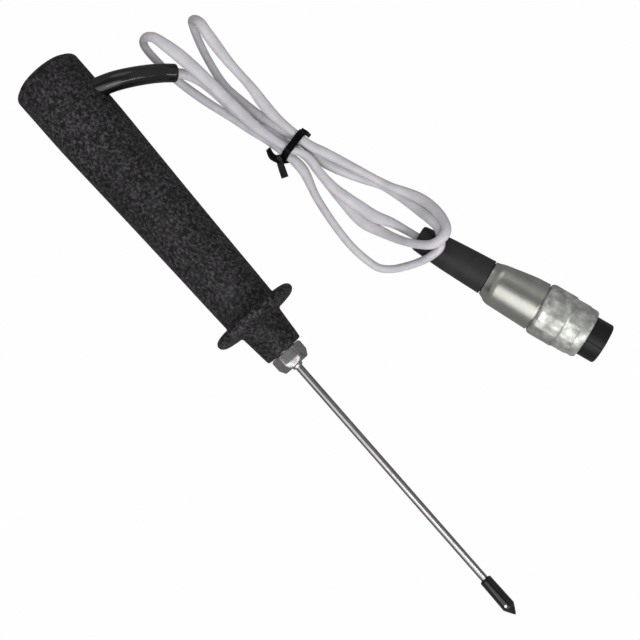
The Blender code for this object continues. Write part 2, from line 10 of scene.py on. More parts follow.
import bmesh
import bpy
import numpy as np
from mathutils import Matrix, Vector


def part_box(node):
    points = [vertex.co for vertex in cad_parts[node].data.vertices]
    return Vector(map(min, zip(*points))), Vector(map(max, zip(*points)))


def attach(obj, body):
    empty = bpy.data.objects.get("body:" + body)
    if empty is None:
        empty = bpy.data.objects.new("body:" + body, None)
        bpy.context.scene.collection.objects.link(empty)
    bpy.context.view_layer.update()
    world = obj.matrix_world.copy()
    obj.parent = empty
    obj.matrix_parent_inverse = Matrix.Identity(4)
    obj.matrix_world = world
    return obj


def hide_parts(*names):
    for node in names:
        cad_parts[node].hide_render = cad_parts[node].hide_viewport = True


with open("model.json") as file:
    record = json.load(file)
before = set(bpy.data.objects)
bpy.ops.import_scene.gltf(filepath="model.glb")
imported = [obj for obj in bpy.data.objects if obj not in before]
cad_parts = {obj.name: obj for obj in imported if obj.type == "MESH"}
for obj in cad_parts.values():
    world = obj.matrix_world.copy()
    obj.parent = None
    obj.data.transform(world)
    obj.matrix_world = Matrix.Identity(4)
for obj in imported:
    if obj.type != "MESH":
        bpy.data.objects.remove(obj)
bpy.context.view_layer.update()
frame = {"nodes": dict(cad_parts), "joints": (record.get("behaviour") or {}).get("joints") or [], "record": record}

JOINTS = {joint["name"]: joint for joint in frame["joints"]}

# The probe, along its own axis: 0 at the front face of the nose, + towards the tip.
TIP_X = 0.1123
GUARD_X = -0.0146
GUARD_R = 0.0155
REAR_CORNER_X = -0.1166
REAR_R = 0.01215
REAR_CORNER_R = 0.0019
PLUG_BACK_X = -0.1199  # the middle of the domed plug that closes the rear end
PLUG_FRONT_X = -0.1148
PLUG_R = 0.0097
NOSE_R = 0.0068
NOSE_BORE_R = 0.0046
ROD_R = 0.00125
ROD_BORE_R = 0.00095
ROD_BACK_X = -0.0280
ROD_POINT_X = 0.1063
CAP_BACK_X = 0.0976
CAP_BORE_R = 0.00155
VENT_AT = (0.1083, -0.00075, 0)  # the middle of the small hole through the tip cap
VENT_R = 0.00045
NUT_BACK_X = 0.0003
NUT_FRONT_X = 0.0061
NUT_FLATS = 0.0103
NUT_FRONT_R = 0.0046
NUT_CORNER_SHARE = 0.97  # how much of a sharp corner's reach is left

# The connector, along its own axis: 0 at the rear end of its boot, + towards the mating face.
RING_JOINT_X = 0.0550  # where the coupling ring's joint stands
BOOT_BACK_R = 0.00435
BOOT_FRONT_R = 0.00605
SHELL_BACK_X = 0.0266
SHELL_EDGE_X = 0.0304  # the sharp edge round the back shell
SHELL_EDGE_R = 0.0078
FLAT_BACK_X = 0.0275  # the rear end of the slanted flat on the back shell
FLAT_BACK_REACH = 0.0058
FLAT_SLOPE = math.radians(9.9)
SHELL_FRONT_X = 0.0455
RING_BACK_X = 0.0459
RING_FRONT_X = 0.0636
RING_R = 0.0092
FACE_X = 0.0700
INSERT_R = 0.00695
CABLE_END_X = 0.0300
COLLAR_R = 0.0052  # the boot's collar, which reaches into the back shell
COLLAR_FRONT_X = 0.0295
RING_BORE_R = 0.0079
RING_FACETS = 20
INSERT_BACK_X = 0.0420
CONTACTS = 5
CONTACT_CIRCLE_R = 0.0035
CONTACT_HOLE_R = 0.00115
GROOVE_Y = -0.0021  # the groove along the top of the insert
GROOVE_R = 0.00022

CABLE_R = 0.00135
CABLE_STEP = 0.0008  # between the cable's sections
CABLE_SIDES = 24
SLEEVE_BORE_R = 0.0018
SLEEVE_BACK_R = 0.0034
SLEEVE_FRONT_R = 0.00305
SLEEVE_LIP = 0.0007  # the rounding of its free end

TIE_AT = (-0.0456, 0.0468)
TIE_TURN = math.radians(11.5)
TIE_WIDTH = 0.0025
TIE_THICK = 0.0006
TIE_SLACK = 0.0002
# The tie's loose end, the short end that curls up beside it, and the fold at its other side.
TAIL_ROUTE = [
    (-0.0463, 0.0412, 0.0030), (-0.0449, 0.0400, 0.0022), (-0.0422, 0.0388, 0.0015),
    (-0.0395, 0.0377, 0.0010),
]
CURL_ROUTE = [
    (-0.0431, 0.0427, 0.0012), (-0.0447, 0.0403, 0.0020), (-0.0475, 0.0390, 0.0030),
    (-0.0500, 0.0396, 0.0048),
]
FOLD_ROUTE = [(-0.0476, 0.0520, 0.0044), (-0.0456, 0.0525, 0.0048), (-0.0441, 0.0528, 0.0040)]
# The four outer strands inside the tie: how far across the bundle and how high each one is.
TIED_STRANDS = [(-0.0038, 0.0025), (0.0024, 0.0025), (0.0033, 0.0053), (-0.0024, 0.0053)]

# The sleeve's middle line, from inside the handle to its free end.
SLEEVE_ROUTE = [
    (-0.1017, 0.0050, 0.0152), (-0.1006, 0.0080, 0.0159), (-0.0995, 0.0109, 0.0164),
    (-0.0978, 0.0155, 0.0166), (-0.0958, 0.0201, 0.0153), (-0.0929, 0.0261, 0.0120),
    (-0.0906, 0.0301, 0.0092), (-0.0883, 0.0332, 0.0075),
]
# From the sleeve to the tie, on the surface.
FIRST_RUN = [
    (-0.0861, 0.0353, 0.0058), (-0.0832, 0.0369, 0.0039), (-0.0796, 0.0380, 0.0022),
    (-0.0744, 0.0387, 0.0016), (-0.0621, 0.0403, 0.0016), (-0.0552, 0.0437, 0.0022),
    (-0.0474, 0.0456, 0.0025),
]
# Past the tie, over the boot in the outer bend, and back to the tie on top.
OUTER_BOW = [
    (-0.0396, 0.0475, 0.0022), (-0.0330, 0.0472, 0.0017), (-0.0195, 0.0469, 0.0015),
    (-0.0110, 0.0474, 0.0019), (-0.0040, 0.0500, 0.0036), (0.0012, 0.0521, 0.0076),
    (0.0063, 0.0551, 0.0125), (0.0095, 0.0585, 0.0152), (0.0101, 0.0618, 0.0162),
    (0.0092, 0.0647, 0.0154), (0.0059, 0.0666, 0.0130), (0.0015, 0.0672, 0.0100),
    (-0.0039, 0.0665, 0.0070), (-0.0088, 0.0644, 0.0056), (-0.0139, 0.0617, 0.0049),
    (-0.0268, 0.0568, 0.0043), (-0.0372, 0.0526, 0.0049), (-0.0414, 0.0508, 0.0053),
    (-0.0484, 0.0494, 0.0053),
]
# The narrow loop that points away from the handle.
FAR_LOOP = [
    (-0.0564, 0.0483, 0.0053), (-0.0620, 0.0482, 0.0055), (-0.0689, 0.0487, 0.0062),
    (-0.0803, 0.0485, 0.0082), (-0.0913, 0.0492, 0.0110), (-0.0944, 0.0496, 0.0116),
    (-0.0970, 0.0493, 0.0092), (-0.0983, 0.0485, 0.0052), (-0.0968, 0.0476, 0.0026),
    (-0.0933, 0.0463, 0.0016), (-0.0873, 0.0446, 0.0015), (-0.0760, 0.0427, 0.0015),
    (-0.0699, 0.0431, 0.0015), (-0.0629, 0.0442, 0.0016), (-0.0566, 0.0459, 0.0022),
    (-0.0481, 0.0485, 0.0025),
]
# Past the tie again, over the boot inside the first bend, and round the wide bow on the surface.
INNER_BOW = [
    (-0.0404, 0.0505, 0.0022), (-0.0355, 0.0507, 0.0016), (-0.0312, 0.0523, 0.0015),
    (-0.0216, 0.0571, 0.0015), (-0.0165, 0.0601, 0.0016), (-0.0117, 0.0617, 0.0023),
    (-0.0071, 0.0628, 0.0037), (-0.0012, 0.0637, 0.0068), (0.0027, 0.0640, 0.0099),
    (0.0065, 0.0639, 0.0122), (0.0096, 0.0623, 0.0130), (0.0120, 0.0600, 0.0130),
    (0.0122, 0.0564, 0.0119), (0.0112, 0.0523, 0.0082), (0.0093, 0.0480, 0.0044),
    (0.0069, 0.0441, 0.0020), (0.0038, 0.0413, 0.0015), (-0.0014, 0.0399, 0.0015),
    (-0.0094, 0.0392, 0.0015), (-0.0265, 0.0410, 0.0015), (-0.0382, 0.0439, 0.0020),
    (-0.0467, 0.0427, 0.0025),
]
# The loop that passes under the sleeve and comes back to the tie on top.
NEAR_LOOP = [
    (-0.0536, 0.0411, 0.0018), (-0.0587, 0.0395, 0.0015), (-0.0651, 0.0378, 0.0015),
    (-0.0787, 0.0339, 0.0015), (-0.0902, 0.0316, 0.0015), (-0.0963, 0.0312, 0.0015),
    (-0.1012, 0.0311, 0.0020), (-0.1032, 0.0314, 0.0040), (-0.1037, 0.0323, 0.0072),
    (-0.1028, 0.0337, 0.0106), (-0.1007, 0.0351, 0.0124), (-0.0968, 0.0362, 0.0124),
    (-0.0920, 0.0373, 0.0116), (-0.0822, 0.0388, 0.0092), (-0.0710, 0.0399, 0.0070),
    (-0.0649, 0.0405, 0.0062), (-0.0590, 0.0410, 0.0057), (-0.0546, 0.0420, 0.0053),
    (-0.0470, 0.0441, 0.0053),
]
# From the tie to the rear end of the boot.
LAST_RUN = [
    (-0.0397, 0.0476, 0.0053), (-0.0321, 0.0472, 0.0049), (-0.0257, 0.0474, 0.0046),
    (-0.0203, 0.0486, 0.0034), (-0.0151, 0.0501, 0.0026), (-0.0098, 0.0515, 0.0032),
    (-0.0042, 0.0544, 0.0042),
]

# Where the soft jacket is flattened, near a point of the route: how much wider it is there, as a
# share of its own width, and over what length it comes and goes.
FLATTENED = [
    ((-0.0861, 0.0353, 0.0058), 0.28, 0.006), ((-0.0110, 0.0474, 0.0019), 0.45, 0.012),
    ((0.0092, 0.0647, 0.0154), 0.25, 0.010), ((-0.0039, 0.0665, 0.0070), 0.32, 0.010),
    ((-0.0372, 0.0526, 0.0049), 0.25, 0.010), ((-0.0619, 0.0489, 0.0055), 0.45, 0.008),
    ((-0.0880, 0.0490, 0.0100), 0.45, 0.011), ((-0.0633, 0.0440, 0.0016), 0.35, 0.012),
    ((-0.0312, 0.0523, 0.0015), 0.35, 0.012), ((-0.0012, 0.0637, 0.0068), 0.38, 0.012),
    ((-0.0787, 0.0339, 0.0015), 0.10, 0.012), ((-0.0940, 0.0370, 0.0120), 0.38, 0.010),
    ((-0.0840, 0.0385, 0.0096), 0.45, 0.012), ((-0.0640, 0.0402, 0.0062), 0.42, 0.013),
    ((-0.0203, 0.0486, 0.0034), 0.45, 0.012), ((-0.0088, 0.0525, 0.0033), 0.35, 0.006),
    ((-0.0382, 0.0439, 0.0020), 0.35, 0.006),
]


# ---------------------------------------------------------------- where the two axes are


def frame_along(origin, axis):
    """A matrix whose X axis is the given one, with its Y axis level."""
    x = Vector(axis).normalized()
    y = Vector((0, 0, 1)).cross(x).normalized()
    z = x.cross(y)
    turn = Matrix((x, y, z)).transposed().to_4x4()
    return Matrix.Translation(origin) @ turn


def probe_frame():
    """The nose face's centre: found from the tip's place and the guard's rest on the surface."""
    axis = Vector(JOINTS["tip_cap_slide"]["axis"]).normalized()
    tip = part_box("tip_cap")[1][0]
    lift = GUARD_R * axis.x - GUARD_X * axis.z
    return frame_along((tip - TIP_X * axis.x, 0, lift), axis)


def connector_frame():
    joint = JOINTS["coupling_ring_turn"]
    axis = Vector(joint["axis"]).normalized()
    return frame_along(Vector(joint["pos_m"]) - RING_JOINT_X * axis, axis)


PROBE = probe_frame()
CONNECTOR = connector_frame()


# ---------------------------------------------------------------- node materials


class Nodes:
    """A short way to write a material's node tree."""

    def __init__(self, name, colour, roughness, metallic=0.0, specular=0.5):
        self.material = bpy.data.materials.new(name)
        self.material.use_nodes = True
        self.tree = self.material.node_tree
        self.shader = self.tree.nodes["Principled BSDF"]
        self.put("Base Color", (*colour, 1.0))
        self.put("Roughness", roughness)
        self.put("Metallic", metallic)
        self.put("Specular IOR Level", specular)

    def put(self, socket, value):
        self.shader.inputs[socket].default_value = value

    def add(self, kind, **inputs):
        node = self.tree.nodes.new(kind)
        for name, value in inputs.items():
            node.inputs[name.replace("_", " ")].default_value = value
        return node

    def link(self, source, target):
        self.tree.links.new(source, target)

    def place(self, scale=(1, 1, 1)):
        """Object coordinates, stretched."""
        coordinates = self.add("ShaderNodeTexCoord")
        mapping = self.add("ShaderNodeMapping")
        mapping.inputs["Scale"].default_value = scale
        self.link(coordinates.outputs["Object"], mapping.inputs["Vector"])
        return mapping.outputs["Vector"]

    def noise(self, where, scale, detail=3.0, roughness=0.5):
        node = self.add("ShaderNodeTexNoise", Scale=scale, Detail=detail, Roughness=roughness)
        self.link(where, node.inputs["Vector"])
        return node.outputs["Fac"]

    def ramp(self, value, stops):
        """stops is a list of (position, grey or colour)."""
        node = self.add("ShaderNodeValToRGB")
        elements = node.color_ramp.elements
        while len(elements) < len(stops):
            elements.new(0.5)
        for element, (position, colour) in zip(elements, stops):
            element.position = position
            shade = colour if isinstance(colour, tuple) else (colour, colour, colour)
            element.color = (*shade, 1.0)
        self.link(value, node.inputs["Fac"])
        return node.outputs["Color"]

    def spread(self, value, low, high):
        """A factor turned into the range low to high."""
        node = self.add("ShaderNodeMapRange")
        node.inputs["To Min"].default_value = low
        node.inputs["To Max"].default_value = high
        self.link(value, node.inputs["Value"])
        return node.outputs["Result"]

    def mixed(self, factor, first, second, blend):
        node = self.add("ShaderNodeMix")
        node.data_type = "RGBA"
        node.blend_type = blend
        for value, slot in ((factor, 0), (first, 6), (second, 7)):
            if isinstance(value, bpy.types.NodeSocket):
                self.link(value, node.inputs[slot])
            else:
                node.inputs[slot].default_value = value
        return node.outputs[2]

    def math(self, operation, first, second):
        node = self.add("ShaderNodeMath")
        node.operation = operation
        for value, slot in ((first, 0), (second, 1)):
            if isinstance(value, bpy.types.NodeSocket):
                self.link(value, node.inputs[slot])
            else:
                node.inputs[slot].default_value = value
        return node.outputs[0]

    def bump(self, height, distance, strength):
        node = self.add("ShaderNodeBump", Strength=strength, Distance=distance)
        self.link(height, node.inputs["Height"])
        return node.outputs["Normal"]

    def finish(self, colour, roughness, normal):
        for source, socket in ((colour, "Base Color"), (roughness, "Roughness"), (normal, "Normal")):
            self.link(source, self.shader.inputs[socket])
        return self.material


def grained_plastic():
    """Near-black moulded plastic with a spark-eroded grain, with painted shade in its hollows and pits and painted
    sheen on its high points.
    """
    nodes = Nodes("grained_plastic", (0.012, 0.012, 0.013), 0.6, specular=0.28)
    where = nodes.place()
    grain = nodes.noise(where, 1100, 2.0, 0.6)
    fine = nodes.noise(where, 2800, 2.0, 0.5)
    pits = nodes.noise(where, 750, 1.0, 0.4)
    patches = nodes.noise(where, 60, 3.0, 0.6)
    # The grain's hollows get painted shade and its high points painted sheen, following the bump's own noise.
    pit, land, peak_painted_sheen = 0.0045, (0.018, 0.0172, 0.0182), (0.066, 0.063, 0.066)
    speckle = nodes.ramp(grain, [(0.36, pit), (0.48, land), (0.66, peak_painted_sheen)])
    # Painted shade in the pits, which the bump also sinks.
    pit_painted_shade = nodes.ramp(pits, [(0.36, 0.12), (0.47, 1.0)])
    worn = nodes.ramp(patches, [(0.35, 0.75), (0.65, 1.2)])
    colour = nodes.mixed(1.0, nodes.mixed(1.0, speckle, worn, "MULTIPLY"), pit_painted_shade, "MULTIPLY")
    height = nodes.math("ADD", nodes.math("ADD", grain, nodes.math("MULTIPLY", fine, 0.35)), pits)
    rough = nodes.spread(grain, 0.72, 0.50)
    return nodes.finish(colour, rough, nodes.bump(height, 0.00014, 0.9))


def smooth_rubber(name, shade, roughness, specular):
    """Black or charcoal rubber with faint mottling."""
    nodes = Nodes(name, (shade, shade, shade * 1.04), roughness, specular=specular)
    where = nodes.place()
    mottle = nodes.noise(where, 220, 4.0, 0.6)
    fine = nodes.noise(where, 1800, 2.0, 0.5)
    colour = nodes.ramp(mottle, [(0.3, shade * 0.7), (0.7, shade * 1.35)])
    rough = nodes.spread(mottle, roughness * 0.8, min(roughness * 1.3, 1.0))
    height = nodes.math("ADD", fine, mottle)
    return nodes.finish(colour, rough, nodes.bump(height, 0.00003, 0.6))


def silicone():
    """Light grey silicone: a soft sheen, slight cloudiness, and light that sinks in a little."""
    nodes = Nodes("silicone_jacket", (0.56, 0.56, 0.575), 0.38)
    nodes.put("Subsurface Weight", 0.35)
    nodes.put("Subsurface Radius", (0.0012, 0.0011, 0.0011))
    nodes.put("Subsurface Scale", 1.0)
    where = nodes.place()
    cloud = nodes.noise(where, 160, 4.0, 0.6)
    fine = nodes.noise(where, 1500, 2.0, 0.5)
    colour = nodes.ramp(cloud, [(0.3, (0.53, 0.53, 0.55)), (0.7, (0.65, 0.65, 0.66))])
    rough = nodes.spread(cloud, 0.30, 0.48)
    return nodes.finish(colour, rough, nodes.bump(fine, 0.000006, 0.3))


def plated_metal(name, colour, roughness, grain=(60, 4000, 4000), depth=0.000012):
    """Plated or drawn metal. grain stretches a fine noise along the way that it was worked."""
    nodes = Nodes(name, colour, roughness, 1.0)
    marks = nodes.noise(nodes.place(grain), 1.0, 3.0, 0.6)
    cloud = nodes.noise(nodes.place(), 140, 4.0, 0.6)
    stain = 0.12
    darker = tuple(c * (1 - stain) for c in colour)
    lighter = tuple(min(1.0, c * (1 + stain)) for c in colour)
    tone = nodes.ramp(cloud, [(0.3, darker), (0.7, lighter)])
    rough = nodes.spread(nodes.math("ADD", marks, cloud), roughness * 0.45, roughness * 1.25)
    return nodes.finish(tone, rough, nodes.bump(marks, depth, 0.8))


def gloss_plastic(name, shade, roughness, specular=0.5):
    """Smooth moulded plastic. shade is a grey or a colour."""
    base = shade if isinstance(shade, tuple) else (shade, shade, shade)
    nodes = Nodes(name, base, roughness, specular=specular)
    where = nodes.place()
    waves = nodes.noise(where, 260, 3.0, 0.5)
    fine = nodes.noise(where, 3000, 2.0, 0.5)
    darker, lighter = tuple(0.7 * c for c in base), tuple(min(1.0, 1.5 * c) for c in base)
    colour = nodes.ramp(waves, [(0.3, darker), (0.7, lighter)])
    rough = nodes.spread(fine, roughness * 0.7, roughness * 1.4)
    return nodes.finish(colour, rough, nodes.bump(waves, 0.00004, 0.5))


def floor_paint():
    """A lit white table: it shows white, and throws only a moderate light back at the part."""
    nodes = Nodes("lit_table", (0.33, 0.33, 0.33), 0.9, specular=0.0)
    glow = nodes.add("ShaderNodeEmission", Color=(1, 1, 1, 1), Strength=0.99)
    seen = nodes.add("ShaderNodeLightPath").outputs["Is Camera Ray"]
    mix = nodes.add("ShaderNodeMixShader")
    nodes.link(seen, mix.inputs["Fac"])
    nodes.link(nodes.shader.outputs["BSDF"], mix.inputs[1])
    nodes.link(glow.outputs["Emission"], mix.inputs[2])
    nodes.link(mix.outputs["Shader"], nodes.tree.nodes["Material Output"].inputs["Surface"])
    return nodes.material


def painted_reflection_plate():
    """The coupling ring's satin nickel, in bright and dull patches of painted reflection."""
    nodes = Nodes("nickel_painted_reflection", (0.44, 0.44, 0.38), 0.3, 1.0)
    where = nodes.place()
    blotches = nodes.noise(where, 330, 2.0, 0.55)
    marks = nodes.noise(nodes.place((2500, 60, 60)), 1.0, 3.0, 0.6)
    # The bright and dull tones are painted reflection, in patches that the bump raises a little.
    dull, plain, bright = (0.40, 0.425, 0.385), (0.55, 0.58, 0.53), (0.76, 0.79, 0.72)
    tone = nodes.ramp(blotches, [(0.36, dull), (0.50, plain), (0.64, bright)])
    rough = nodes.spread(blotches, 0.60, 0.40)
    height = nodes.math("ADD", nodes.math("MULTIPLY", marks, 0.1), blotches)
    return nodes.finish(tone, rough, nodes.bump(height, 0.00014, 0.9))


MATERIALS = {
    "grained_plastic": grained_plastic(),
    "brass": plated_metal("brass", (0.72, 0.56, 0.27), 0.3),
    "bright_nickel": plated_metal("bright_nickel", (0.34, 0.335, 0.33), 0.22, (4000, 60, 60), 0.000004),
    "rod_steel": plated_metal("rod_steel", (0.27, 0.27, 0.27), 0.20),
    "cap_plastic": gloss_plastic("cap_plastic", 0.003, 0.20),
    "ceramic": gloss_plastic("ceramic", 0.7, 0.5),
    "red_insulation": gloss_plastic("red_insulation", (0.45, 0.02, 0.015), 0.4),
    "blue_insulation": gloss_plastic("blue_insulation", (0.02, 0.06, 0.35), 0.4),
    "splice_metal": plated_metal("splice_metal", (0.6, 0.58, 0.55), 0.35),
    "sleeve_rubber": gloss_plastic("sleeve_rubber", 0.006, 0.15),
    "silicone_jacket": silicone(),
    "tie_plastic": gloss_plastic("tie_plastic", 0.002, 0.28, specular=0.12),
    "boot_rubber": smooth_rubber("boot_rubber", 0.018, 0.55, specular=0.4),
    "satin_nickel": plated_metal("satin_nickel", (0.43, 0.445, 0.395), 0.27, (2500, 40, 40)),
    "carrier_plastic": smooth_rubber("carrier_plastic", 0.005, 0.45, specular=0.3),
    "contact_gold": plated_metal("contact_gold", (0.83, 0.66, 0.33), 0.25),
}


# ---------------------------------------------------------------- shape helpers


def as_piece(bm, name, slot, body, place=None, bevel=0.0, sharp=30):
    """Turns a bmesh into a piece with its material, riding on its body."""
    bmesh.ops.recalc_face_normals(bm, faces=bm.faces)
    mesh = bpy.data.meshes.new(name)
    bm.to_mesh(mesh)
    bm.free()
    if place is not None:
        mesh.transform(place)
    mesh.shade_smooth()
    mesh.set_sharp_from_angle(angle=math.radians(sharp))
    piece = bpy.data.objects.new(name, mesh)
    bpy.context.scene.collection.objects.link(piece)
    if bevel:
        soften_edges(piece, bevel)
    piece.data.materials.append(MATERIALS[slot])
    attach(piece, body)
    return piece


def soften_edges(piece, width):
    modifier = piece.modifiers.new("soft_edges", "BEVEL")
    modifier.width = width
    modifier.segments = 3
    modifier.limit_method = "ANGLE"
    modifier.angle_limit = math.radians(30)


def turned_bmesh(outline, sides, radius_at):
    """A closed (x, r) outline turned about the X axis. radius_at reshapes its section."""
    bm = bmesh.new()
    rings = []
    for x, r in outline:
        if r == 0:
            rings.append([bm.verts.new((x, 0, 0))])
            continue
        ring = []
        for step in range(sides):
            angle = 2 * math.pi * step / sides
            reach = radius_at(x, r, angle) if radius_at else r
            ring.append(bm.verts.new((x, reach * math.cos(angle), reach * math.sin(angle))))
        rings.append(ring)
    for first, second in zip(rings, rings[1:] + rings[:1]):
        for k in range(sides):
            corners = [
                first[k % len(first)],
                first[(k + 1) % len(first)],
                second[(k + 1) % len(second)],
                second[k % len(second)],
            ]
            corners = list(dict.fromkeys(corners))
            if len(corners) > 2:
                bm.faces.new(corners)
    return bm


def turned(name, outline, slot, body, place, sides=96, radius_at=None):
    return as_piece(turned_bmesh(outline, sides, radius_at), name, slot, body, place)


def arc(centre, radius, start, end, steps=8):
    """Points of a circular arc in the (x, r) plane; angles in degrees, 0 towards +x."""
    cx, cr = centre
    angles = np.radians(np.linspace(start, end, steps + 1))
    return [(cx + radius * math.cos(a), cr + radius * math.sin(a)) for a in angles]


def fine_outline(points, steps=6):
    """A smooth curve in the (x, r) plane through the points."""
    line = smooth_line([(x, r, 0) for x, r in points], steps)
    return [(p.x, p.y) for p in line]


def smooth_line(route, steps=8):
    """A centripetal Catmull-Rom curve through the route's points, as closely spaced points."""
    points = [Vector(p) for p in route]
    points = [2 * points[0] - points[1], *points, 2 * points[-1] - points[-2]]
    line = []
    for a, b, c, d in zip(points, points[1:], points[2:], points[3:]):
        t1 = math.sqrt((b - a).length)
        t2 = t1 + math.sqrt((c - b).length)
        t3 = t2 + math.sqrt((d - c).length)
        for k in range(steps):
            t = t1 + (t2 - t1) * k / steps
            ab = a.lerp(b, t / t1)
            bc = b.lerp(c, (t - t1) / (t2 - t1))
            cd = c.lerp(d, (t - t2) / (t3 - t2))
            abc = ab.lerp(bc, t / t2)
            bcd = bc.lerp(cd, (t - t1) / (t3 - t1))
            line.append(abc.lerp(bcd, (t - t1) / (t2 - t1)))
    return [*line, points[-2]]


def spread_points(line, gap):
    """Points along the line, about gap apart."""
    points = np.array([tuple(p) for p in line])
    along = np.concatenate([[0], np.cumsum(np.linalg.norm(np.diff(points, axis=0), axis=1))])
    at = np.linspace(0, along[-1], max(2, round(along[-1] / gap)))
    return [Vector([np.interp(s, along, points[:, k]) for k in range(3)]) for s in at]


def sections_along(points):
    """(point, side, up) for each point: two unit vectors square to the line, turning with it."""
    up = Vector((0, 0, 1))
    placed = []
    for k, point in enumerate(points):
        ahead = (points[min(k + 1, len(points) - 1)] - points[max(k - 1, 0)]).normalized()
        side = ahead.cross(up).normalized()
        up = side.cross(ahead)
        placed.append((point, side, up))
    return placed


def skin_between(bm, loops):
    """Faces from each loop of corners to the next one, closed at both ends."""
    for first, second in zip(loops, loops[1:]):
        for k in range(len(first)):
            j = (k + 1) % len(first)
            bm.faces.new((first[k], first[j], second[j], second[k]))
    bm.faces.new(loops[0])
    bm.faces.new(loops[-1][::-1])


def swept(name, stations, slot, body, sides):
    """A closed skin through (point, side, up, radius) stations, joined end to end as a hose is."""
    bm = bmesh.new()
    loops = []
    for point, side, up, radius in stations:
        ring = []
        for step in range(sides):
            angle = 2 * math.pi * step / sides
            ring.append(bm.verts.new(point + radius * (math.cos(angle) * side + math.sin(angle) * up)))
        loops.append(ring)
    for first, second in zip(loops, loops[1:] + loops[:1]):
        for k in range(sides):
            j = (k + 1) % sides
            bm.faces.new((first[k], first[j], second[j], second[k]))
    return as_piece(bm, name, slot, body, sharp=40)


# ---------------------------------------------------------------- camera, light and floor


CAMERA_AT = (0.00397, 0.01507, 0.435)
CAMERA_ROLL = math.radians(48.72)
CAMERA_LENS_MM = 73.04
SENSOR_MM = 36
FLOOR_REACH = 2.5
FLOOR_DROP = 0.00002  # keeps the floor just clear of what rests on it
LIT_POINT = Vector((0, 0.02, 0))  # what the lights are aimed at
TINT = (1.0, 0.967, 1.0)  # the light's slight cast
# How light the room is, by the z of the direction looked in: 0 for level or below, 1 for straight up.
ROOM_SHADES = ((0.0, 0.28), (0.5, 0.47), (0.72, 0.52), (0.93, 0.18), (1.0, 0.13))


def build_stage():
    """A white surface, a large soft light, a strip whose glint runs along the sleeve, and a fill."""
    floor_mesh = bpy.data.meshes.new("floor")
    bm = bmesh.new()
    bmesh.ops.create_grid(bm, x_segments=1, y_segments=1, size=FLOOR_REACH)
    bm.to_mesh(floor_mesh)
    bm.free()
    floor = bpy.data.objects.new("floor", floor_mesh)
    floor.location = (0, 0, -FLOOR_DROP)
    floor_mesh.materials.append(floor_paint())
    bpy.context.scene.collection.objects.link(floor)

    bpy.context.scene.world = studio_world()
    bpy.context.scene.view_settings.view_transform = "Standard"
    add_light("key", (0.31, -0.27, 0.60), 0.80, 3.7)
    add_light("glint", (0.425, 0.035, 0.52), 0.05, 1.2, (0.25, 0.59, -0.24))
    add_light("side", (-0.45, 0.40, 0.42), 0.35, 0.35)


def studio_world():
    """A pale room that is darker overhead, so that polished metal has something dark to mirror."""
    world = bpy.data.worlds.new("studio")
    world.use_nodes = True
    tree = world.node_tree
    coordinates = tree.nodes.new("ShaderNodeTexCoord")
    parts = tree.nodes.new("ShaderNodeSeparateXYZ")
    ramp = tree.nodes.new("ShaderNodeValToRGB")
    tree.links.new(coordinates.outputs["Generated"], parts.inputs["Vector"])
    tree.links.new(parts.outputs["Z"], ramp.inputs["Fac"])
    tree.links.new(ramp.outputs["Color"], tree.nodes["Background"].inputs["Color"])
    elements = ramp.color_ramp.elements
    while len(elements) < len(ROOM_SHADES):
        elements.new(0.5)
    for element, (position, shade) in zip(elements, ROOM_SHADES):
        element.position = position
        element.color = (*(shade * share for share in TINT), 1)
    return world


def add_light(name, at, size, power, strip=None):
    """A square soft light aimed at LIT_POINT, or one drawn out along strip."""
    data = bpy.data.lights.new(name, "AREA")
    data.shape = "SQUARE"
    data.size = size
    data.energy = power
    data.color = TINT
    back = (Vector(at) - LIT_POINT).normalized()
    across = Vector((0, 0, 1)).cross(back)
    if strip:
        across = Vector(strip) - Vector(strip).dot(back) * back
        data.shape = "RECTANGLE"
        data.size = Vector(strip).length
        data.size_y = size
    across.normalize()
    turn = Matrix((across, back.cross(across), back)).transposed().to_4x4()
    lamp = bpy.data.objects.new(name, data)
    lamp.matrix_world = Matrix.Translation(at) @ turn
    bpy.context.scene.collection.objects.link(lamp)


def build_camera():
    """Straight down, turned so that the probe runs from upper left to lower right."""
    data = bpy.data.cameras.new("camera")
    data.sensor_width = SENSOR_MM
    data.lens = CAMERA_LENS_MM
    data.clip_start = 0.01
    camera = bpy.data.objects.new("camera", data)
    camera.location = CAMERA_AT
    camera.rotation_euler = (0, 0, CAMERA_ROLL)
    bpy.context.scene.collection.objects.link(camera)
    bpy.context.scene.camera = camera


# ---------------------------------------------------------------- the cable


def cable_route():
    """The whole cable, from inside the handle to inside the connector."""
    first, second = Vector(SLEEVE_ROUTE[0]), Vector(SLEEVE_ROUTE[1])
    inside = first + (first - second) * 1.2
    entry = [CONNECTOR @ Vector((x, 0, 0)) for x in (-0.0002, 0.0080, 0.0180, CABLE_END_X)]
    return [
        inside, *SLEEVE_ROUTE, *FIRST_RUN, *OUTER_BOW, *FAR_LOOP, *INNER_BOW, *NEAR_LOOP,
        *LAST_RUN, *entry,
    ]


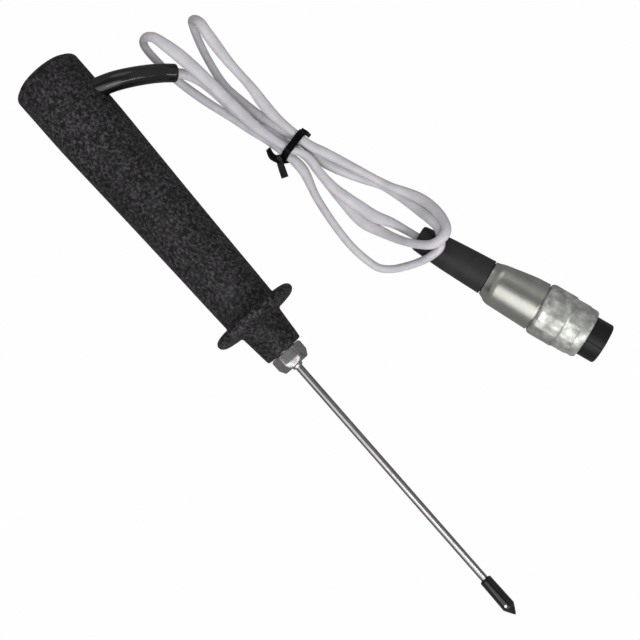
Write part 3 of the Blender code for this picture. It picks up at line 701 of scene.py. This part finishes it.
def build_cable():
    """A skin along the route: round, but flattened to an oval wherever FLATTENED says."""
    line = spread_points(smooth_line(cable_route(), 12), CABLE_STEP)
    widths = np.ones(len(line))
    places = np.array([tuple(point) for point in line])
    gap = (line[1] - line[0]).length
    for near, extra, reach in FLATTENED:
        middle = int(np.argmin(np.linalg.norm(places - np.array(near), axis=1)))
        away = (np.arange(len(line)) - middle) * gap
        widths += extra * np.exp(-((away / reach) ** 2))
    bm = bmesh.new()
    loops = []
    for k, ((point, side, up), wide) in enumerate(zip(sections_along(line), widths.tolist())):
        ahead = line[min(k + 1, len(line) - 1)] - line[max(k - 1, 0)]
        level = ahead.cross(Vector((0, 0, 1))).normalized()
        ring = []
        for step in range(CABLE_SIDES):
            angle = 2 * math.pi * step / CABLE_SIDES
            out = CABLE_R * (math.cos(angle) * side + math.sin(angle) * up)
            ring.append(bm.verts.new(point + out + (wide - 1) * out.dot(level) * level))
        loops.append(ring)
    skin_between(bm, loops)
    piece = as_piece(bm, "cable_cord", "silicone_jacket", "probe", sharp=60)
    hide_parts("cable")
    return piece, line


# ---------------------------------------------------------------- the handle


def handle_outline():
    """The dome of the rear plug from its middle, and the handle's outside up to the nose face."""
    dome = [(PLUG_BACK_X, 0.0004), (-0.11985, 0.0030), (-0.1196, 0.0060), (-0.1192, 0.0085)]
    corner = arc((REAR_CORNER_X, REAR_R - REAR_CORNER_R), REAR_CORNER_R, 158, 90, 8)
    body = fine_outline(
        [
            (REAR_CORNER_X + 0.0002, REAR_R), (-0.1080, 0.01212), (-0.0960, 0.01205),
            (-0.0780, 0.01145), (-0.0620, 0.0109), (-0.0440, 0.01035), (-0.0250, 0.00985),
            (-0.0176, 0.00962),
        ],
        8,
    )
    guard = fine_outline(
        [
            (-0.0171, 0.00975), (-0.01675, 0.0104), (-0.01655, 0.0122), (-0.0163, 0.0140),
            (-0.0156, 0.0151), (GUARD_X, GUARD_R), (-0.0135, 0.0151), (-0.0127, 0.0139),
            (-0.0122, 0.0115), (-0.0120, 0.0095), (-0.0118, 0.0084), (-0.0112, 0.0078),
        ],
        6,
    )
    nose = fine_outline([(-0.0105, 0.00772), (-0.0070, 0.00738), (-0.0030, 0.00705)], 6)
    lip = arc((-0.0007, NOSE_R - 0.0007), 0.0007, 82, 0, 6)
    return dome, corner + body + guard + nose + lip


def build_handle():
    dome, outside = handle_outline()
    bore = [(0, NOSE_BORE_R), (-0.0134, NOSE_BORE_R), (-0.0134, 0.0073)]
    cavity = [(-0.0440, 0.0079), (-0.0960, 0.0095), (-0.1145, 0.00985)]
    outline = [(-0.1191, 0.00985), *outside, *bore, *cavity]
    piece = turned("handle", outline, "grained_plastic", "probe", PROBE, 144)
    first, second = Vector(SLEEVE_ROUTE[0]), Vector(SLEEVE_ROUTE[2])
    cut(piece, first, first + (second - first) * 1.6, SLEEVE_BACK_R + 0.0001)
    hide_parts("handle_shell")

    plug = [
        (PLUG_BACK_X, 0), *dome, (-0.11905, PLUG_R - 0.0001), (-0.1188, PLUG_R),
        (PLUG_FRONT_X, PLUG_R), (PLUG_FRONT_X, PLUG_R - 0.0015), (-0.1178, PLUG_R - 0.0015),
        (-0.1182, 0),
    ]
    cap = turned("rear_end", plug, "grained_plastic", "probe", PROBE)
    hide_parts("rear_cap")


def cut(piece, start, end, radius, sides=48):
    """Takes a round hole out of a piece, for good."""
    along = end - start
    bm = bmesh.new()
    bmesh.ops.create_cone(
        bm, cap_ends=True, segments=sides, radius1=radius, radius2=radius, depth=along.length
    )
    turn = along.to_track_quat("Z", "Y").to_matrix().to_4x4()
    bmesh.ops.transform(bm, matrix=Matrix.Translation((start + end) / 2) @ turn, verts=bm.verts)
    mesh = bpy.data.meshes.new("hole")
    bm.to_mesh(mesh)
    bm.free()
    cutter = bpy.data.objects.new("hole", mesh)
    bpy.context.scene.collection.objects.link(cutter)
    modifier = piece.modifiers.new("hole", "BOOLEAN")
    modifier.operation = "DIFFERENCE"
    modifier.object = cutter
    bpy.context.view_layer.update()
    shaped = piece.evaluated_get(bpy.context.evaluated_depsgraph_get())
    result = bpy.data.meshes.new_from_object(shaped)
    piece.modifiers.clear()
    piece.data = result
    bpy.data.objects.remove(cutter)
    result.shade_smooth()
    result.set_sharp_from_angle(angle=math.radians(30))


def build_sleeve():
    """The bend relief: it narrows a little from the handle to its rounded free end."""
    points = spread_points(smooth_line(SLEEVE_ROUTE, 12), 0.0006)
    placed = sections_along(points)
    last = len(points) - 1
    end, side, up = placed[-1]
    ahead = (points[-1] - points[-2]).normalized()
    stations = []
    for k, (point, *sides) in enumerate(placed):
        radius = SLEEVE_BACK_R + (SLEEVE_FRONT_R - SLEEVE_BACK_R) * k / last
        if (point - end).length > SLEEVE_LIP:
            stations.append((point, *sides, radius))
    for angle in np.radians(np.linspace(15, 90, 6)):
        at = end + ahead * SLEEVE_LIP * (math.sin(angle) - 1)
        stations.append((at, side, up, SLEEVE_FRONT_R + SLEEVE_LIP * (math.cos(angle) - 1)))
    inner = [(end, side, up, SLEEVE_BORE_R + 0.0003)]
    inner += [(*place, SLEEVE_BORE_R) for place in reversed(placed[: last - 1])]
    piece = swept("bend_relief", stations + inner, "sleeve_rubber", "probe", 64)
    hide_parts("cable_sleeve")


# ---------------------------------------------------------------- the nose fitting and the rod


def hexagon(across_flats, turn):
    def radius_at(_x, r, angle):
        off_flat = (angle + turn + math.pi / 6) % (math.pi / 3) - math.pi / 6
        return min(r, across_flats / 2 / math.cos(off_flat))

    return radius_at


def build_nose_fitting():
    """The nut, whose corners are worn round enough to catch the light."""
    nut_r = NUT_CORNER_SHARE * NUT_FLATS / 2 / math.cos(math.pi / 6)
    front = [
        (NUT_BACK_X + 0.0036, nut_r), (NUT_BACK_X + 0.0038, nut_r - 0.00003),
        (NUT_FRONT_X - 0.0002, NUT_FRONT_R + 0.00012), (NUT_FRONT_X, NUT_FRONT_R - 0.0001),
    ]
    outline = [
        (NUT_BACK_X, 0.0039), (NUT_BACK_X, nut_r - 0.0006), (NUT_BACK_X + 0.0003, nut_r - 0.0001),
        (NUT_BACK_X + 0.0006, nut_r + 0.00005), *front, (NUT_FRONT_X, 0.0030),
        (NUT_FRONT_X - 0.0003, 0.0022), (NUT_FRONT_X - 0.0018, 0.0022),
        (NUT_FRONT_X - 0.0018, 0.0039),
    ]
    nut = turned(
        "nose_nut", outline, "bright_nickel", "probe", PROBE, 180, hexagon(NUT_FLATS, math.pi / 6)
    )
    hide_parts("collet_nut")


def build_rod():
    """The steel tube, closed and sharpened at its front end."""
    outline = [
        (ROD_BACK_X, ROD_BORE_R), (ROD_BACK_X, ROD_R), (ROD_POINT_X - 0.0020, ROD_R),
        (ROD_POINT_X, 0.0001), (ROD_POINT_X, 0), (ROD_POINT_X - 0.0024, 0),
        (ROD_POINT_X - 0.0026, ROD_BORE_R),
    ]
    rod = turned("rod", outline, "rod_steel", "probe", PROBE, 64)
    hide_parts("probe_rod")


def build_tip_cap():
    """The push-on cap, whose small hole the camera sees the white surface through."""
    lip = arc((CAP_BACK_X + 0.0002, 0.00183), 0.0002, 170, 95, 4)
    shoulder = fine_outline([(0.1084, 0.00219), (0.1088, 0.00221), (0.1092, 0.00200)], 4)
    point = [
        (0.1100, 0.00156), (0.1110, 0.00096), (0.1117, 0.00052), (TIP_X - 0.00015, 0.00022),
        (TIP_X, 0),
    ]
    bore = [(ROD_POINT_X + 0.0003, 0), (ROD_POINT_X + 0.0003, CAP_BORE_R)]
    outline = [(CAP_BACK_X, CAP_BORE_R), (CAP_BACK_X, 0.00185), *lip, *shoulder, *point, *bore]
    piece = turned("push_on_cap", outline, "cap_plastic", "cap", PROBE, 72)
    vent = PROBE @ Vector(VENT_AT)
    lean = (Vector(CAMERA_AT) - vent).normalized() * 0.004
    cut(piece, vent - lean, vent + lean, VENT_R, 32)
    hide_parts("tip_cap")


# ---------------------------------------------------------------- the connector


def build_boot():
    """The rubber boot, with a collar that reaches into the back shell."""
    rear = arc((0.0008, BOOT_BACK_R - 0.0008), 0.0008, 180, 95, 6)
    swell = [(0.0012, BOOT_BACK_R + 0.0001), (0.0090, 0.0052), (0.0180, 0.0057), (0.0257, 0.0060)]
    front = arc((SHELL_BACK_X - 0.0005, BOOT_FRONT_R - 0.0003), 0.0003, 85, 0, 4)
    inside = [
        (SHELL_BACK_X - 0.0002, COLLAR_R), (COLLAR_FRONT_X, COLLAR_R),
        (COLLAR_FRONT_X, SLEEVE_BORE_R), (0, SLEEVE_BORE_R),
    ]
    outline = rear + fine_outline(swell, 6) + front + inside
    piece = turned("bend_boot", outline, "boot_rubber", "probe", CONNECTOR)
    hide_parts("connector_boot")


def shell_radius(x, r, angle):
    """One long slanted flat along the +Y side of the back shell."""
    reach = FLAT_BACK_REACH + max(x - FLAT_BACK_X, 0) * math.tan(FLAT_SLOPE)
    return min(r, reach / max(math.cos(angle), 0.1))


def build_back_shell():
    """The metal shell: a short shoulder, then a long slow taper up to the ring."""
    front = SHELL_FRONT_X
    shoulder = [
        (SHELL_BACK_X, 0.0058), (SHELL_BACK_X + 0.0001, 0.0060), (0.0272, 0.0062),
        (0.0280, 0.0066), (0.0287, 0.0071), (0.0291, 0.0074), (SHELL_EDGE_X - 0.0001, 0.00777),
    ]
    body = [
        (x, SHELL_EDGE_R + (x - SHELL_EDGE_X) * 0.042)
        for x in np.linspace(SHELL_EDGE_X + 0.00015, front - 0.0006, 28)
    ]
    rim = [(front - 0.0003, 0.00845), (front - 0.0001, 0.0084), (front, 0.0082)]
    inner = [
        (front, RING_BORE_R), (0.0397, RING_BORE_R), (0.0397, 0.0072), (0.0375, 0.0072),
        (0.0310, 0.0056),
    ]
    outline = [(SHELL_BACK_X, 0.0055), *shoulder, *body, *rim, *inner]
    piece = turned("back_housing", outline, "satin_nickel", "probe", CONNECTOR, 180, shell_radius)
    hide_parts("back_shell")


def ring_radius(x, r, angle):
    """Two zones of flat facets, the second turned half a facet from the first."""
    pitch = 2 * math.pi / RING_FACETS
    if 0.0466 < x < 0.0550:
        turn, flat_r = 0.0, RING_R * math.cos(pitch / 2)
    elif 0.0556 < x < 0.0604:
        turn, flat_r = pitch / 2, 0.00885 * math.cos(pitch / 2)
    else:
        return r
    off_flat = (angle + turn + pitch / 2) % pitch - pitch / 2
    return min(r, flat_r / math.cos(off_flat))


def build_coupling_ring():
    """The screw ring, with its own patches of painted reflection."""
    outer = [
        (RING_BACK_X, 0.0084), (RING_BACK_X + 0.0003, 0.0088), (RING_BACK_X + 0.0011, RING_R),
        (0.0470, RING_R), (0.0472, RING_R), (0.0548, RING_R), (0.0550, RING_R), (0.0553, 0.0090),
        (0.0555, 0.00886), (0.0558, 0.00885), (0.0602, 0.00883), (0.0604, 0.0088),
        (0.0606, 0.0086), (0.0626, 0.0086), (0.0632, 0.0084), (RING_FRONT_X, 0.0081),
    ]
    inner = [
        (RING_FRONT_X, RING_BORE_R), (0.0630, 0.0083), (0.0571, 0.0083), (0.0570, RING_BORE_R),
        (RING_BACK_X, RING_BORE_R),
    ]
    piece = turned("screw_ring", outer + inner, "satin_nickel", "ring", CONNECTOR, 168, ring_radius)
    # The ring's material carries patches of painted reflection.
    piece.data.materials[0] = painted_reflection_plate()
    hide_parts("coupling_ring")


def cut_along(piece, start_x, end_x, y, z, radius, sides):
    """Takes a round hole that runs along the connector out of a piece."""
    start, end = CONNECTOR @ Vector((start_x, y, z)), CONNECTOR @ Vector((end_x, y, z))
    cut(piece, start, end, radius, sides)


def build_insert():
    """The contact carrier, with the contacts' holes and the groove along its top."""
    front = arc((FACE_X - 0.0008, INSERT_R - 0.0008), 0.0008, 88, 0, 6)
    outline = [(INSERT_BACK_X, 0), (INSERT_BACK_X, INSERT_R), *front, (FACE_X, 0)]
    piece = turned("contact_insert", outline, "carrier_plastic", "probe", CONNECTOR, 120)
    for number in range(CONTACTS):
        angle = math.radians(90 + 45 * (number - 2))
        y, z = CONTACT_CIRCLE_R * math.cos(angle), CONTACT_CIRCLE_R * math.sin(angle)
        cut_along(piece, INSERT_BACK_X - 0.001, FACE_X + 0.002, y, z, CONTACT_HOLE_R, 32)
    groove_z = math.sqrt(INSERT_R**2 - GROOVE_Y**2)
    cut_along(piece, 0.058, FACE_X - 0.0005, GROOVE_Y, groove_z, GROOVE_R, 12)
    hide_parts("contact_carrier")


# ---------------------------------------------------------------- the tie


def tie_ring():
    """Points round the bundle, seen along it: its outer strands wrapped by the band."""
    reach = CABLE_R + TIE_SLACK + TIE_THICK / 2
    ring = []
    for (across, high), start in zip(TIED_STRANDS, (180, 270, 0, 90)):
        for angle in np.radians(np.linspace(start, start + 90, 9)):
            ring.append((across + reach * math.cos(angle), high + reach * math.sin(angle)))
    return ring


def build_tie():
    """The band round the strands, its loose end, the end that curls up, and the fold."""
    turn = Matrix.Translation((*TIE_AT, 0)) @ Matrix.Rotation(TIE_TURN, 4, "Z")
    bm = bmesh.new()
    ring = [Vector((0, across, high)) for across, high in tie_ring()]
    centre = sum(ring, Vector()) / len(ring)
    loops = []
    for point in ring:
        out = (point - centre).normalized() * TIE_THICK / 2
        loops.append(
            [
                bm.verts.new(point + out * deep + Vector((TIE_WIDTH / 2 * wide, 0, 0)))
                for deep, wide in ((1, 1), (1, -1), (-1, -1), (-1, 1))
            ]
        )
    for first, second in zip(loops, loops[1:] + loops[:1]):
        for k in range(4):
            j = (k + 1) % 4
            bm.faces.new((first[k], first[j], second[j], second[k]))
    bmesh.ops.transform(bm, matrix=turn, verts=bm.verts)
    add_strip(bm, TAIL_ROUTE, [TIE_WIDTH * share for share in (0.72, 0.86, 0.96, 0.98)])
    add_strip(bm, CURL_ROUTE, [TIE_WIDTH * share for share in (0.90, 0.95, 0.95, 0.70)])
    add_strip(bm, FOLD_ROUTE, [TIE_WIDTH * share for share in (0.60, 0.65, 0.55)])
    piece = as_piece(bm, "wire_tie", "tie_plastic", "probe", bevel=0.00015)
    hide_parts("cable_tie")


def add_strip(bm, route, widths):
    """A flat strip along the route, as wide at each of its points as widths says."""
    line = spread_points(smooth_line(route, 10), 0.0004)
    loops = []
    for k, (point, side, up) in enumerate(sections_along(line)):
        half = np.interp(k / (len(line) - 1), np.linspace(0, 1, len(widths)), widths) / 2
        thick = up * TIE_THICK / 2
        corners = ((1, 1), (1, -1), (-1, -1), (-1, 1))
        loops.append([bm.verts.new(point + side * half * a + thick * b) for a, b in corners])
    skin_between(bm, loops)


def dress_inner_nodes():
    """The nodes whose own shape is right keep it, with their slot's material."""
    slots = {part["node"]: part["material_slot"] for part in frame["record"]["subparts"]}
    for name, node in frame["nodes"].items():
        for place in node.material_slots:
            place.material = MATERIALS[slots[name]]


def build():
    build_stage()
    build_camera()
    cable, line = build_cable()
    build_handle()
    build_sleeve()
    build_nose_fitting()
    build_rod()
    build_tip_cap()
    build_boot()
    build_back_shell()
    build_coupling_ring()
    build_insert()
    build_tie()
    dress_inner_nodes()
    inside = ["cable_clamp", "inner_sleeve", "snap_ring", "connector_core_1", "connector_core_2"]
    inside += [f"contact_{number + 1}" for number in range(CONTACTS)]


build()
